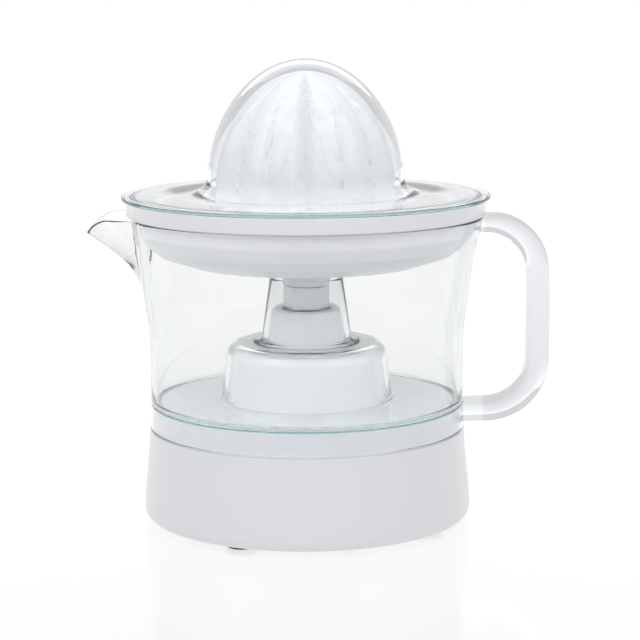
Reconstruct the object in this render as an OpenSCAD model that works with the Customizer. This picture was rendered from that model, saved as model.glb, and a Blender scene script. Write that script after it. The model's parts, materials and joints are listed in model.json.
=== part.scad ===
// Citrus press: a motor base with a stepped tower, a clear jug that stands on it, a strainer,
// a reaming cone on the drive spindle, and a clear dust cover.
// The origin is on the table plane below the spindle. +Z is up, +X points to the jug's handle,
// -X to its spout, and +Y to the back, where the mains lead enters. Millimetres.

/* [Base] */
// Height of the feet below the base
foot_h = 1.8; // [1.6:0.1:2]
// Thickness of the base housing's wall
base_wall = 2.2; // [2:0.1:2.4]
// Angle of the first foot
foot_angle = 242; // [236:1:248]

/* [Jug] */
// Thickness of the jug's wall
jug_wall = 2; // [1.8:0.1:2.2]
// Width of the handle's bar
handle_w = 14; // [10:1:16]

/* [Strainer] */
// Number of drain slots
slot_count = 48; // [24:4:60]
// Width of a drain slot
slot_w = 1.6; // [1.2:0.1:2]

/* [Cone] */
// Number of long ribs
rib_count = 8; // [6:1:9]
// Width of a rib
rib_w = 4.4; // [3:0.2:5]

/* [Cover] */
// Thickness of the dust cover
cover_t = 1.7; // [1.5:0.1:1.8]

/* [Drive] */
// Backlash in each pair of gears
backlash = 0.14; // [0.12:0.01:0.18]

/* [Hidden] */
$fn = 96;
e = 0.05; // how far cuts run past a face
fit = 0.05; // radial gap round a fixed pin, bush or screw
run = 0.06; // radial gap round a turning shaft

// Heights in the stack, from the table up
cover_top = 4; // inner face of the bottom cover
ledge_z = 36.6; // ledge that the jug's skirt stands over
deck_z = 46; // deck that the jug's floor stands over
deck_t = 2.2;
step_z = 67.6; // top of the tower's wide step
tower_z = 82.7; // top of the tower
recess_z = 80.5; // floor of the recess in the tower's top
jug_rim_z = 119.2;
strainer_top = 125.9;
flange_z = 126; // underside of the cover's flange
cone_foot_z = 104.5;

// Spindle
hex_af = 7; // steel hexagon, across flats
hex_play = 0.1; // gap between the flats of a hexagon and its socket
shaft_r = 4; // round part of the steel shaft
column_r = 9.1; // plastic column seen between the tower and the strainer
column_top = 91.6;
spigot_r = 5.6; // hexagonal spigot in the cone, over its corners
spigot_top = 121;
stem_r = 7.9; // the cone's stem
hub_r = 8.2; // bore of the strainer's hub
bush_r = 6; // bore in the tower for the bush and the seal
clip_z = 23;

// Gear train: 12-tooth pinions, and wheels that follow from the modules
pressure = 25;
pinion_n = 12;
wheel_n = 48;
output_n = 42;
m1 = 0.7;
m2 = 0.8;
m3 = 1;
motor_c = [-24, 2];
one_angle = 95; // direction from the rotor to gear one
d1 = m1 * (pinion_n + wheel_n) / 2;
d2 = m2 * (pinion_n + wheel_n) / 2;
d3 = m3 * (pinion_n + output_n) / 2;
one_c = motor_c + d1 * [cos(one_angle), sin(one_angle)];
one_dist = norm(one_c);
one_dir = atan2(one_c.y, one_c.x);
two_dir = one_dir - acos((d3 * d3 + one_dist * one_dist - d2 * d2) / (2 * d3 * one_dist));
two_c = d3 * [cos(two_dir), sin(two_dir)];
axle_r = 1.25;
plate_z = 24; // underside of the gearbox plate
plate_t = 2;
roof_z = 41.6; // underside of the gearbox cover's roof
gearbox_top = 43.5;
journal_r = 5.6; // journals of the output gear
gear_bush_r = 6.6;

// Motor
core_z = 10;
core_h = 9;
core_w = 40;
core_l = 48;
core_y = -12; // middle of the core
leg_w = 8;
coil_leg = 9; // width of the leg that carries the coil
rotor_r = 10.6;
rotor_hole = 11.3;
rotor_shaft_r = 1.5;
bracket_z = 6;
motor_screw_x = 15;

// Fasteners
screw_r = 1.5;
small_screw_r = 1.1;
cover_screw_at = 53;
cover_screw_angle = 17;
gearbox_screw_at = [[26.8, -15.5], [28.6, 16.5], [-44.9, -2.4]];
foot_at = 51.8;
foot_r = 5.6;

// Mains lead: height of its inlet, and the clamp inside
cord_z = 15;
clamp_y = 47;
clamp_screw_x = [-8, 8];

// Switch
lever_pivot = [44, 19.5]; // x and z of the pivot
lever_w = 5;
button_x = 28;
switch_x = [22, 42];
switch_w = 6.4;
switch_screw_x = [26, 38];
switch_screw_z = 10;
pin_r = 1.2;

// Shells
cover_rx = 39; // dome, outside
cover_rz = 52.9;
rib_rx = 34.9; // crests of the cone's ribs
rib_rz = 48;
groove = 3.6; // depth between ribs
spout_r = 21;

// Points on an arc: centre, radii, first and last angle, steps
function arc(c, rx, ry, a0, a1, n = 12) =
    [for (i = [0 : n]) let(a = a0 + (a1 - a0) * i / n) [c[0] + rx * cos(a), c[1] + ry * sin(a)]];
function polar(r, a) = [r * cos(a), r * sin(a)];

module at(p, z = 0) { translate([p[0], p[1], z]) children(); }
module disc(r, z0, z1) { translate([0, 0, z0]) cylinder(r = r, h = z1 - z0); }
module ring(r_out, r_in, z0, z1) {
    difference() {
        disc(r_out, z0, z1);
        disc(r_in, z0 - 1, z1 + 1);
    }
}
module hexagon(r, z0, z1) { translate([0, 0, z0]) cylinder(r = r, h = z1 - z0, $fn = 6); }
module box(x, y, z) {
    translate([x[0], y[0], z[0]]) cube([x[1] - x[0], y[1] - y[0], z[1] - z[0]]);
}
module round_box(w, l, r, z0, z1) {
    translate([0, 0, z0]) linear_extrude(z1 - z0) {
        square([w - 2 * r, l], center = true);
        square([w, l - 2 * r], center = true);
        for (x = [-1, 1], y = [-1, 1]) translate([x * (w / 2 - r), y * (l / 2 - r)]) circle(r);
    }
}
module four(r, a0) { for (i = [0 : 3]) rotate(a0 + 90 * i) translate([r, 0]) children(); }
// A screw with its head at the bottom, from z0 up
module screw(z0, z1, r, head_r, head_h) {
    difference() {
        union() {
            disc(head_r, z0, z0 + head_h);
            disc(r, z0 + head_h - e, z1);
        }
        box([-head_r * 0.7, head_r * 0.7], [-0.3, 0.3], [z0 - e, z0 + head_h * 0.4]);
        box([-0.3, 0.3], [-head_r * 0.7, head_r * 0.7], [z0 - e, z0 + head_h * 0.4]);
    }
}

// Involute gear outline
function inv(a) = tan(a) * 180 / PI - a;
function half_angle(m, n, r) =
    let(rp = m * n / 2, rb = rp * cos(pressure), s = (PI * m - backlash) / 2)
    s / (2 * rp) * 180 / PI + inv(pressure) - inv(acos(min(1, rb / r)));
function flank(m, n, steps = 3) =
    let(rb = m * n / 2 * cos(pressure), ra = m * (n / 2 + 1), r0 = max(rb, m * (n / 2 - 1.25)))
    [for (i = [0 : steps]) let(r = r0 + (ra - r0) * i / steps) [r, half_angle(m, n, r)]];
module gear_2d(m, n, phase = 0) {
    f = flank(m, n);
    k = len(f) - 1;
    rf = m * (n / 2 - 1.25);
    a_root = f[0][1];
    polygon([for (t = [0 : n - 1]) let(a = phase + 360 * t / n) each concat(
        [polar(rf, a - a_root)],
        [for (i = [0 : k]) polar(f[i][0], a - f[i][1])],
        [for (i = [k : -1 : 0]) polar(f[i][0], a + f[i][1])],
        [polar(rf, a + a_root)])]);
}
module gear(m, n, phase, z0, z1) {
    translate([0, 0, z0]) linear_extrude(z1 - z0) gear_2d(m, n, phase);
}
// Phase of a gear that meshes with another one: the other's phase and teeth, and the direction
// from the other to this one
function mesh(phase, n_other, dir, n) = dir + 180 + ((dir - phase) * n_other / 360 - 0.5) * 360 / n;
function dir_of(from, to) = atan2(to.y - from.y, to.x - from.x);
two_pinion_phase = mesh(0, output_n, dir_of([0, 0], two_c), pinion_n);
one_pinion_phase = mesh(0, wheel_n, dir_of(two_c, one_c), pinion_n);
rotor_phase = mesh(0, wheel_n, dir_of(one_c, motor_c), pinion_n);

// ---- Base ----

// Outside of the housing, from its foot to the recess in the tower's top
function housing_outside() = concat(
    arc([60.4, 5], 3.1, 5 - foot_h, -90, 0, 6),
    [[63.5, 9], [62.6, 18], [61.45, 30], [61.2, ledge_z], [58.8, ledge_z]],
    arc([57.8, deck_z - 1], 1, 1, 0, 90, 4),
    [[30.4, deck_z]],
    arc([24.3, step_z - 4], 4, 4, 0, 90, 6),
    [[15.2, step_z]],
    arc([12.7, tower_z - 0.8], 0.8, 0.8, 0, 90, 4),
    [[9.7, tower_z], [9.7, recess_z], [bush_r, recess_z]]);
function housing_inside() = [
    [bush_r, 70], [8.2, 70], [8.2, 78.3], [11.6, 78.3], [13.1, step_z - base_wall],
    [22.6, step_z - base_wall], [26, step_z - 5.4], [28.2, deck_z - deck_t],
    [56.6, deck_z - deck_t], [56.6, ledge_z - deck_t], [59, ledge_z - deck_t],
    [63.5 - base_wall - 0.1, 9], [60.9, 5.5], [58.4, cover_top], [58.4, foot_h]];
module housing_shell() { rotate_extrude() polygon(concat(housing_outside(), housing_inside())); }
module cord_hole() { translate([0, 50, cord_z]) rotate([-90, 0, 0]) cylinder(r = 5.1, h = 20); }
module base_housing() {
    color("white") difference() {
        union() {
            housing_shell();
            four(cover_screw_at, cover_screw_angle) {
                disc(4, cover_top, 16);
                box([3, 8.2], [-1, 1], [6, 16]);
            }
            for (p = gearbox_screw_at) at(p) disc(4, plate_z + plate_t, deck_z - deck_t + 1);
        }
        four(cover_screw_at, cover_screw_angle) disc(screw_r + fit, cover_top - 1, 13);
        for (p = gearbox_screw_at) at(p) disc(screw_r + fit, plate_z, 37);
        cord_hole();
    }
}
module bottom_cover() {
    color("whitesmoke") {
        difference() {
            disc(58.3, foot_h, cover_top);
            four(cover_screw_at, cover_screw_angle) {
                disc(1.7, 0, 5);
                disc(3.2, 0, foot_h + 1.2);
            }
            four(foot_at, foot_angle) disc(foot_r + 0.1, 0, foot_h + 1);
            for (i = [-5 : 5]) box([i * 4 - 0.9 - 24, i * 4 + 0.9 - 24], [-20, 12], [0, 5]);
        }
        // wall that carries the switch and one end of the lever's pin
        difference() {
            box([20, 47.5], [switch_w / 2, 5.2], [cover_top - e, 22]);
            switch_holes(0, 8);
            pin_hole(fit);
        }
        difference() {
            box([41, 47.5], [-5.2, -switch_w / 2], [cover_top - e, 22]);
            pin_hole(fit);
        }
        for (x = clamp_screw_x) translate([x, clamp_y]) difference() {
            disc(3, cover_top - e, 12);
            disc(small_screw_r + fit, 6, 13);
        }
    }
}
// Holes along Y for the lever's pin, and for the two screws through the switch
module pin_hole(gap) {
    translate([lever_pivot[0], -10, lever_pivot[1]]) rotate([-90, 0, 0])
        cylinder(r = pin_r + gap, h = 20);
}
module switch_holes(y, h) {
    for (x = switch_screw_x) translate([x, y, switch_screw_z]) rotate([-90, 0, 0])
        cylinder(r = small_screw_r + fit, h = h);
}
module feet() {
    color("dimgray") four(foot_at, foot_angle) rotate_extrude()
        polygon(concat([[0, foot_h + 1], [0, 0]], arc([foot_r - 0.8, 0.8], 0.8, 0.8, -90, 0, 4),
                       [[foot_r, foot_h + 1]]));
}
module bottom_cover_screws() {
    color("silver") four(cover_screw_at, cover_screw_angle)
        screw(foot_h + 0.1, 12, screw_r, 2.9, 1.1);
}
// The gland's outer flange beds on the round housing
module cord_gland() {
    color("whitesmoke") difference() {
        translate([0, 0, cord_z]) rotate([-90, 0, 0]) rotate_extrude()
            polygon([[3.1, 57], [6.8, 57], [6.8, 59.3], [5, 59.3], [5, 61.6], [7.2, 61.6],
                     [7.2, 64.2], [6.2, 65.2], [3.1, 65.2]]);
        difference() {
            housing_shell();
            cord_hole();
        }
    }
}
module cord_clamp() {
    color("whitesmoke") difference() {
        box([-11, 11], [clamp_y - 3, clamp_y + 3], [12, 15]);
        for (x = clamp_screw_x) translate([x, clamp_y]) disc(small_screw_r + 0.2, 10, 16);
        translate([0, 40, 11.2]) rotate([-90, 0, 0]) cylinder(r = 3, h = 20);
    }
}
module cord_clamp_screws() {
    color("silver") for (x = clamp_screw_x)
        translate([x, clamp_y, 22.7]) mirror([0, 0, 1]) screw(6, 16, small_screw_r, 2, 1.7);
}

// ---- Motor ----

module stator_core() {
    color("slategray") difference() {
        translate([motor_c.x, core_y]) round_box(core_w, core_l, 4, core_z, core_z + core_h);
        at(motor_c) disc(rotor_hole, 0, 30);
        // window for the coil, and the slits between the two poles
        box([motor_c.x - core_w / 2 + leg_w, motor_c.x + core_w / 2 - leg_w],
            [core_y - core_l / 2 + coil_leg, -13], [0, 30]);
        box([motor_c.x - 1, motor_c.x + 1], [-14, 0], [0, 30]);
        for (x = [-1, 1]) at(motor_c + [x * motor_screw_x, 0]) disc(screw_r + 0.2, 0, 30);
    }
}
// A sleeve along X round the coil's leg of the core, between two sizes
module round_leg(inner, outer, half_l) {
    y = core_y - core_l / 2 + coil_leg / 2;
    z = core_z + core_h / 2;
    translate([motor_c.x, y, z]) difference() {
        cube([2 * half_l, outer, outer], center = true);
        cube([2 * half_l + 2, inner, inner], center = true);
    }
}
module coil_bobbin() {
    color("ivory") {
        round_leg(9.4, 10.8, 11.5);
        for (x = [-1, 1]) translate([x * 10.9, 0, 0]) round_leg(9.4, 18.4, 0.6);
    }
}
module coil_winding() { color("peru") round_leg(10.9, 17.6, 10.2); }
module motor_bracket() {
    color("silver") difference() {
        at(motor_c) {
            box([-20, 20], [-4, 4], [bracket_z, bracket_z + 1.5]);
            for (x = [-1, 1]) translate([x * motor_screw_x, 0]) disc(3.6, bracket_z, core_z);
            disc(5, bracket_z, 9);
        }
        at(motor_c) disc(3.5 + fit, 0, 30);
        for (x = [-1, 1]) at(motor_c + [x * motor_screw_x, 0]) disc(screw_r + 0.2, 0, 30);
    }
}
module motor_screws() {
    color("dimgray") for (x = [-1, 1])
        at(motor_c + [x * motor_screw_x, 0]) screw(bracket_z - 1.6, plate_z + 1, screw_r, 3, 1.6);
}
module rotor_bearings() {
    color("goldenrod") at(motor_c) {
        ring(3.5, rotor_shaft_r + run, 6.2, 9);
        ring(3.5, rotor_shaft_r + run, plate_z, plate_z + plate_t);
    }
}
module rotor_magnet() {
    color("darkslategray") at(motor_c) difference() {
        union() {
            disc(rotor_r, 9.6, 19.4);
            disc(4, 19.4 - e, 21);
        }
        disc(rotor_shaft_r + fit, 0, 30);
    }
}
module rotor_shaft() { color("silver") at(motor_c) disc(rotor_shaft_r, 6.3, 30.2); }
module rotor_pinion() {
    color("ivory") at(motor_c) difference() {
        gear(m1, pinion_n, rotor_phase, 26.4, 30);
        disc(rotor_shaft_r + fit, 0, 40);
    }
}

// ---- Gearbox ----

// Outline round the gears, a distance inside the outer edge
module gear_outline(inset = 0) {
    circle(25 - inset);
    translate(two_c) circle(22.8 - inset);
    translate(one_c) circle(20.2 - inset);
    translate(motor_c) circle(9 - inset);
}
module gearbox_plate() {
    color("whitesmoke") difference() {
        union() {
            translate([0, 0, plate_z]) linear_extrude(plate_t) gear_outline();
            for (p = gearbox_screw_at) {
                at(p) disc(5, plate_z, plate_z + plate_t);
                rotate(atan2(p.y, p.x)) box([18, norm(p)], [-4, 4], [plate_z, plate_z + plate_t]);
            }
            for (x = [-1, 1]) at(motor_c + [x * motor_screw_x, 0])
                disc(3.8, core_z + core_h, plate_z + plate_t);
        }
        disc(gear_bush_r + fit, 0, 50);
        at(motor_c) disc(3.5 + fit, 0, 50);
        for (p = [one_c, two_c]) at(p) disc(axle_r + fit, 0, 50);
        for (x = [-1, 1]) at(motor_c + [x * motor_screw_x, 0])
            disc(screw_r + fit, 0, plate_z + 1.2);
        for (p = gearbox_screw_at) at(p) disc(screw_r + 0.2, 0, 50);
    }
}
module gearbox_cover() {
    z0 = plate_z + plate_t;
    color("whitesmoke") difference() {
        translate([0, 0, z0]) linear_extrude(gearbox_top - z0) gear_outline();
        translate([0, 0, z0 - e]) linear_extrude(roof_z - z0 + e) gear_outline(1.6);
        disc(gear_bush_r + fit, 0, 50);
        for (p = [one_c, two_c]) at(p) disc(axle_r + fit, 0, 43);
    }
}
module gearbox_screws() {
    color("silver") for (p = gearbox_screw_at) at(p) screw(plate_z - 2, 36, screw_r, 3, 2);
}
module gear_axles() { color("silver") for (p = [one_c, two_c]) at(p) disc(axle_r, plate_z, 42.9); }
module gear_bushes() {
    color("goldenrod") {
        ring(gear_bush_r, journal_r + run, plate_z, plate_z + plate_t);
        ring(gear_bush_r, journal_r + run, roof_z, gearbox_top);
    }
}
module gear_one() {
    color("ivory") at(one_c) difference() {
        union() {
            disc(3, 26.2, 41.4);
            gear(m1, wheel_n, 0, 27, 29.5);
            gear(m2, pinion_n, one_pinion_phase, 29.5 - e, 35);
        }
        disc(axle_r + run, 0, 50);
    }
}
module gear_two() {
    color("ivory") at(two_c) difference() {
        union() {
            disc(3, 26.2, 41.4);
            gear(m2, wheel_n, 0, 31, 34.5);
            gear(m3, pinion_n, two_pinion_phase, 34.5 - e, 41);
        }
        disc(axle_r + run, 0, 50);
    }
}
module output_gear() {
    color("ivory") difference() {
        union() {
            disc(journal_r, plate_z + 0.2, 44.5);
            gear(m3, output_n, 0, 36, 40.5);
        }
        ring(17, 8, 38.6, 41);
        hexagon((hex_af / 2 + hex_play) / cos(30), 20, 50);
    }
}

// ---- Spindle ----

module upper_bush() {
    color("goldenrod") ring(bush_r - fit, shaft_r + run, 70, 77);
}
module shaft_seal() {
    color("dimgray") rotate_extrude()
        polygon([[bush_r - fit, 77.2], [bush_r - fit, 80.3], [4.1, 80.3], [4.1, 79.8], [5, 79],
                 [5, 77.8], [4.3, 77.2]]);
}
module spindle_shaft() {
    color("silver") {
        disc(1.5, 20.6, clip_z - 0.3);
        hexagon(hex_af / 2 / cos(30), clip_z - 0.6, clip_z);
        disc(2.8, clip_z - e, clip_z + 0.8 + e);
        hexagon(hex_af / 2 / cos(30), clip_z + 0.8, 56);
        disc(6.5, 56 - e, 58);
        disc(shaft_r, 58 - e, 108);
    }
}
module retaining_clip() {
    color("dimgray") difference() {
        ring(5.4, 2.85, clip_z + 0.1, clip_z + 0.75);
        box([0, 8], [-2, 2], [clip_z - 1, clip_z + 2]);
    }
}
// Spring: a round wire swept along a helix between the output gear and the shaft's collar
spring_r = 5.6;
wire_r = 0.5;
spring_z = [45.1, 55.3];
spring_turns = 5;
turn_steps = 20;
wire_sides = 6;
module return_spring() {
    n = spring_turns * turn_steps;
    rise = (spring_z[1] - spring_z[0]) / n;
    points = [for (i = [0 : n], j = [0 : wire_sides - 1])
        let(a = 360 * i / turn_steps, b = 360 * j / wire_sides, r = spring_r + wire_r * cos(b))
        [r * cos(a), r * sin(a), spring_z[0] + rise * i + wire_r * sin(b)]];
    walls = [for (i = [0 : n - 1], j = [0 : wire_sides - 1])
        let(k = (j + 1) % wire_sides, a = i * wire_sides, b = a + wire_sides)
        [a + j, b + j, b + k, a + k]];
    ends = [[for (j = [0 : wire_sides - 1]) j],
            [for (j = [wire_sides - 1 : -1 : 0]) n * wire_sides + j]];
    color("silver") polyhedron(points, concat(walls, ends));
}
module drive_spindle() {
    color("gainsboro") difference() {
        union() {
            hexagon(column_r, tower_z, column_top);
            hexagon(spigot_r, column_top - e, spigot_top);
        }
        disc(shaft_r + fit, tower_z - 1, 108.2);
    }
}

// ---- Switch ----

module microswitch_body() {
    color("black") difference() {
        box(switch_x, [-switch_w / 2 + 0.05, switch_w / 2 - 0.05], [7, 17]);
        translate([button_x, 0]) disc(1.35, 14, 18);
        switch_holes(-8, 20);
    }
}
module microswitch_button() {
    color("red") translate([button_x, 0]) disc(1.2, 15.2, 18.5);
}
module switch_screws() {
    color("silver") for (x = switch_screw_x) translate([x, -4.6, switch_screw_z])
        rotate([-90, 0, 0]) screw(0, 9.6, small_screw_r, 2, 1.4);
}
module switch_lever() {
    color("ivory") difference() {
        union() {
            box([-1.6, lever_pivot[0]], [-lever_w / 2, lever_w / 2], [18.7, 20.4]);
            translate([lever_pivot[0], -lever_w / 2, lever_pivot[1]]) rotate([-90, 0, 0])
                cylinder(r = 2.6, h = lever_w);
        }
        pin_hole(run);
    }
}
module lever_pin() {
    color("silver") translate([lever_pivot[0], -5.4, lever_pivot[1]]) rotate([-90, 0, 0])
        cylinder(r = pin_r, h = 10.8);
}

// ---- Jug ----

// Wall, floor, skirt and chimney, outside and inside
function jug_outer_wall() = [[61, 37], [60.5, 47.4], [60.8, 54], [60.6, 66], [61.2, 78], [62.5, 86],
                             [64.5, 101], [66, 109], [67.3, 112.5], [68.3, jug_rim_z]];
function jug_inner_wall() = [for (i = [9 : -1 : 2]) jug_outer_wall()[i] - [jug_wall, 0]];
module jug_revolve() {
    rotate_extrude() polygon(concat(
        jug_outer_wall(), jug_inner_wall(),
        [[58.3, 48.6]],
        [[33, 48.6], [30.6, 65.2]], arc([26, 65.6], 4.6, 4.4, 0, 90, 5),
        [[20.4, 70], [20.4, 71], [17.4, 71.6], [14.2, 95], [12.5, 95]],
        [[15.7, 70], [16.4, 68.2], [24, 68.2]], arc([25, 64.4], 3.8, 3.8, 80, 0, 4),
        [[31.2, 46.6], [59.2, 46.6], [59.3, 37]]));
}
// Outline of the spout at one size: a disc whose far edge reaches x_tip
module spout_slice(r, x_tip, z, h = 0.1) {
    translate([x_tip + r, 0, z]) cylinder(r = r, h = h, $fn = 32);
}
module spout(inset) {
    top = jug_rim_z + (inset > 0 ? 2 : 0);
    hull() {
        spout_slice(spout_r - inset, -84.6 + inset, 113, top - 113);
        spout_slice(14 - inset, -74 + inset, 103);
    }
    hull() {
        spout_slice(14 - inset, -74 + inset, 103);
        spout_slice(6 - inset, -63 + inset, 84);
    }
}
module jug_hollow() {
    rotate_extrude() polygon(concat([[0, 48.6], [58.3, 48.6]],
        [for (i = [2 : 9]) jug_outer_wall()[i] - [jug_wall, 0]], [[66.6, 125], [0, 125]]));
}
function handle_outline() = concat(
    [[59.8, 37.6]], arc([70.5, 61.5], 23.5, 23.5, -90, 0, 12), [[94, 84]],
    arc([71, 97.5], 22.5, 22, 0, 90, 12), [[66.5, jug_rim_z]], [[66, 111.9]],
    arc([70, 98], 13.7, 13.7, 90, 0, 10), [[84.6, 85]],
    arc([67.5, 65], 17.6, 17.8, 0, -90, 10), [[59.8, 47.2]]);
module jug() {
    color("azure") difference() {
        union() {
            jug_revolve();
            difference() {
                union() {
                    spout(0);
                    translate([0, handle_w / 2, 0]) rotate([90, 0, 0])
                        linear_extrude(handle_w) polygon(handle_outline());
                }
                jug_hollow();
                disc(60.2, 0, 60);
            }
        }
        spout(jug_wall);
    }
}

// ---- Strainer ----

module strainer() {
    color("whitesmoke") difference() {
        rotate_extrude() polygon([
            [hub_r, 92], [9.3, 92], [9.3, 98], [12, 98.6], [30, 99.2], [45, 101], [51, 102.6],
            [56.6, 104.8], [60.4, 108], [63.6, 112.2], [64.8, 119.6], [69, 119.6], [69, strainer_top],
            [67.4, strainer_top], [67.4, 121.2], [63, 121.2], [62, 112.8], [59.2, 109.2],
            [55.6, 106.4], [50.4, 104.3], [44.6, 102.7], [30, 100.9], [12, 100.4],
            [9.9, 102], [hub_r, 102]]);
        for (i = [0 : slot_count - 1]) rotate((i + 0.5) * 360 / slot_count)
            box([29, 47], [-slot_w / 2, slot_w / 2], [95, 106]);
    }
}

// ---- Cone ----

function dome(rx, rz, z0, n = 24) = arc([0, z0], rx, rz, 0, 90, n);
// Ribbed shell with a foot flange, and a stem with a hexagonal socket
module cone_body(inset, top_inset) {
    rotate_extrude() polygon(concat(
        [[0, cone_foot_z], [37.5, cone_foot_z], [37.5, cone_foot_z + 1.6],
         [rib_rx - inset, cone_foot_z + 4]],
        dome(rib_rx - inset, rib_rz - top_inset, flange_z)));
}
module rib(rx, rz, w) {
    translate([0, w / 2, 0]) rotate([90, 0, 0]) linear_extrude(w)
        polygon(concat([[0, cone_foot_z + 1], [rx, cone_foot_z + 1]], dome(rx, rz, flange_z)));
}
module cone() {
    color("white") difference() {
        union() {
            difference() {
                union() {
                    cone_body(groove, 2);
                    for (i = [0 : rib_count - 1]) rotate(360 * i / rib_count) {
                        rib(rib_rx, rib_rz, rib_w);
                        rotate(180 / rib_count) rib(rib_rx - 0.4, rib_rz - 1.4, rib_w * 0.7);
                    }
                }
                rotate_extrude() polygon(concat(
                    [[0, cone_foot_z - 1], [rib_rx - groove - 2, cone_foot_z - 1]],
                    dome(rib_rx - groove - 2, rib_rz - 5, flange_z)));
            }
            disc(stem_r, 91.8, 168);
        }
        hexagon((spigot_r * cos(30) + hex_play) / cos(30), 90, spigot_top + 2.5);
        disc(5, spigot_top + 5, 163);
        ring(stem_r + 1, 7.2, 95.9, 98.1);
    }
}
module wiper_ring() { color("dimgray") ring(8.1, 7.3, 96, 98); }

// ---- Dust cover ----

module dust_cover() {
    foot = 5; // fillet between the dome and the flange
    color("azure") rotate_extrude() polygon(concat(
        [[71, flange_z], [71, flange_z + cover_t]],
        [[cover_rx + foot, flange_z + cover_t + 0.3]],
        arc([cover_rx + foot, flange_z + cover_t + foot + 0.3], foot, foot, 270, 190, 5),
        arc([0, flange_z], cover_rx, cover_rz, 12, 90, 30),
        arc([0, flange_z], cover_rx - cover_t, cover_rz - cover_t, 90, 10, 30),
        [[cover_rx - cover_t + 0.6, flange_z + 3]],
        [[cover_rx + 2.4, flange_z + 0.4]],
        [[cover_rx + foot, flange_z], [65.6, flange_z], [65.6, 122.6], [67, 122.6], [67, flange_z]]));
}

base_housing();
bottom_cover();
feet();
bottom_cover_screws();
cord_gland();
cord_clamp();
cord_clamp_screws();
stator_core();
coil_bobbin();
coil_winding();
motor_bracket();
motor_screws();
rotor_bearings();
rotor_magnet();
rotor_shaft();
rotor_pinion();
gearbox_plate();
gearbox_cover();
gearbox_screws();
gear_axles();
gear_bushes();
gear_one();
gear_two();
output_gear();
upper_bush();
shaft_seal();
spindle_shaft();
return_spring();
retaining_clip();
drive_spindle();
microswitch_body();
microswitch_button();
switch_screws();
switch_lever();
lever_pin();
jug();
strainer();
wiper_ring();
cone();
dust_cover();
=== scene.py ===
"""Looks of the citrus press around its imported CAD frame: metres, +Z up, handle at +X."""
import json
import math

import bmesh
import bpy
from mathutils import Matrix, Vector


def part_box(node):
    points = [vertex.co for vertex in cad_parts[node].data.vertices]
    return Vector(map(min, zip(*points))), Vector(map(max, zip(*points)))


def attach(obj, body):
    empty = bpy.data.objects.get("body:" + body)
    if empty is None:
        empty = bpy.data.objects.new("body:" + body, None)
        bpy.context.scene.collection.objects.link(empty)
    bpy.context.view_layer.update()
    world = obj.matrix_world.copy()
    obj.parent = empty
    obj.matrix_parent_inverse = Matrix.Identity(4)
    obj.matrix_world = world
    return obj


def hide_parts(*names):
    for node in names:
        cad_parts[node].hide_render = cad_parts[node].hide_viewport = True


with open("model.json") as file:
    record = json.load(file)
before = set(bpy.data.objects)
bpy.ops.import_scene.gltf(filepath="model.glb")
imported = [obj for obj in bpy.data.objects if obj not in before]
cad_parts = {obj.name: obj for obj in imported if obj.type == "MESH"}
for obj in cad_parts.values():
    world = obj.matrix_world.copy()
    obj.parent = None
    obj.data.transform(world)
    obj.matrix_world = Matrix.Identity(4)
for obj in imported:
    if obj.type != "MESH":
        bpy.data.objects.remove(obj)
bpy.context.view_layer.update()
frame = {"nodes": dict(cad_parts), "record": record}

# ---- Sizes, in millimetres, worked out from the frame ----
MM = 0.001


def top(node):
    """Greatest height of a CAD node."""
    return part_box(node)[1].z / MM


def low(node):
    """Least height of a CAD node."""
    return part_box(node)[0].z / MM


def reach(node):
    """Greatest X of a CAD node: the radius of a round one."""
    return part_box(node)[1].x / MM


base_low = low("base_housing")
tower_z = top("base_housing")
skirt_z = low("jug")
cover_low = low("dust_cover")
cover_top = top("dust_cover")
flange_r = reach("dust_cover")
strainer_top = top("strainer")
strainer_low = low("strainer")
strainer_r = reach("strainer")
spout_tip = -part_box("jug")[0].x / MM
handle_w = 14
cone_foot = low("cone") + 12.7    # the cone's rim, above the end of its stem
cone_low = low("cone")
cone_r = reach("cone")
cone_top = top("cone")
flange_z = strainer_top + 0.1     # underside of the cover's flange
rim_z = strainer_top - 6.7        # rim of the jug
jug_foot_r = 61.0
jug_wall = 2.0
spout_wall = 1.1
deck_z = 46.0                     # top of the base round the tower
spout_low = 76                    # where the spout begins in the jug's wall
lip_drop = 6.6                    # of the spout's tip below the rim
handle_root = 68.4                # where the handle leaves the wall
floor_z = skirt_z + 9.6           # underside of the jug's floor at its edge
cover_t = 1.7
sink = 0.03                       # of a clear piece into what it rests on, to let light through

# Points up the outside of the jug's wall: radius, height
WALL = [(jug_foot_r, skirt_z), (60.6, 47.4), (60.7, 54), (60.8, 66), (61.3, 78), (62.5, 86),
        (63.4, 93), (64.5, 101), (66, 109), (67.2, 113.5), (68.3, rim_z)]


# ---- Mesh tools ----

def lerp(a, b, t):
    """From a at t = 0 to b at t = 1."""
    return a + (b - a) * t


def smooth(t):
    """From 0 to 1 with a soft start and end, and flat beyond."""
    t = min(1, max(0, t))
    return t * t * (3 - 2 * t)


def table(points, z):
    """Radius at height z on a Catmull-Rom curve through points (radius, height), rising."""
    n = len(points)
    if z <= points[0][1]:
        return points[0][0]
    if z >= points[-1][1]:
        return points[-1][0]
    i = max(k for k in range(n - 1) if points[k][1] <= z)
    p = [points[max(0, min(n - 1, k))] for k in (i - 1, i, i + 1, i + 2)]
    h = p[2][1] - p[1][1]
    t = (z - p[1][1]) / h
    m1 = (p[2][0] - p[0][0]) / max(1e-6, p[2][1] - p[0][1]) * h
    m2 = (p[3][0] - p[1][0]) / max(1e-6, p[3][1] - p[1][1]) * h
    return ((2 * t ** 3 - 3 * t ** 2 + 1) * p[1][0] + (t ** 3 - 2 * t ** 2 + t) * m1
            + (3 * t ** 2 - 2 * t ** 3) * p[2][0] + (t ** 3 - t ** 2) * m2)


def ring_angles(n):
    """n equal steps round a full turn, in radians."""
    return [2 * math.pi * i / n for i in range(n)]


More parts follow.
